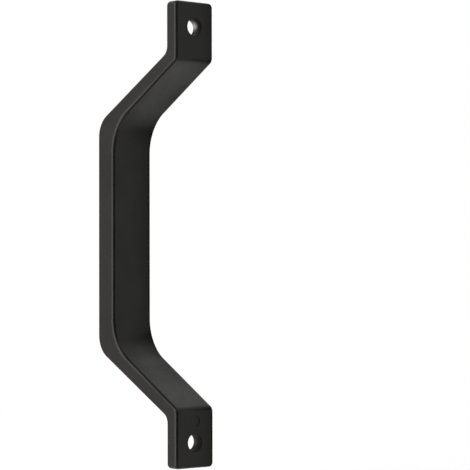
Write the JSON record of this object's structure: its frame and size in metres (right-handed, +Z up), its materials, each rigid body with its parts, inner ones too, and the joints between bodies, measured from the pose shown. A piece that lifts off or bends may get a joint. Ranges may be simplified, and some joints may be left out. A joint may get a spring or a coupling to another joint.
{
  "type": "barn door pull handle",
  "caption": "Barn door pull handle: one bent bar with a thick straight grip, two slanted arms and flat screw tabs at the ends.",
  "frame": {"origin": "on the door's surface, midway between the two screw holes", "axes": "+Z up along the handle, +Y into the door, +X across the width of the bar"},
  "size_m": [0.019, 0.05, 0.1796],
  "materials": {
    "black_coating": "satin black coating on cast metal"
  },
  "bodies": {
    "root": {"pull_handle": "black_coating"}
  },
  "joints": []
}
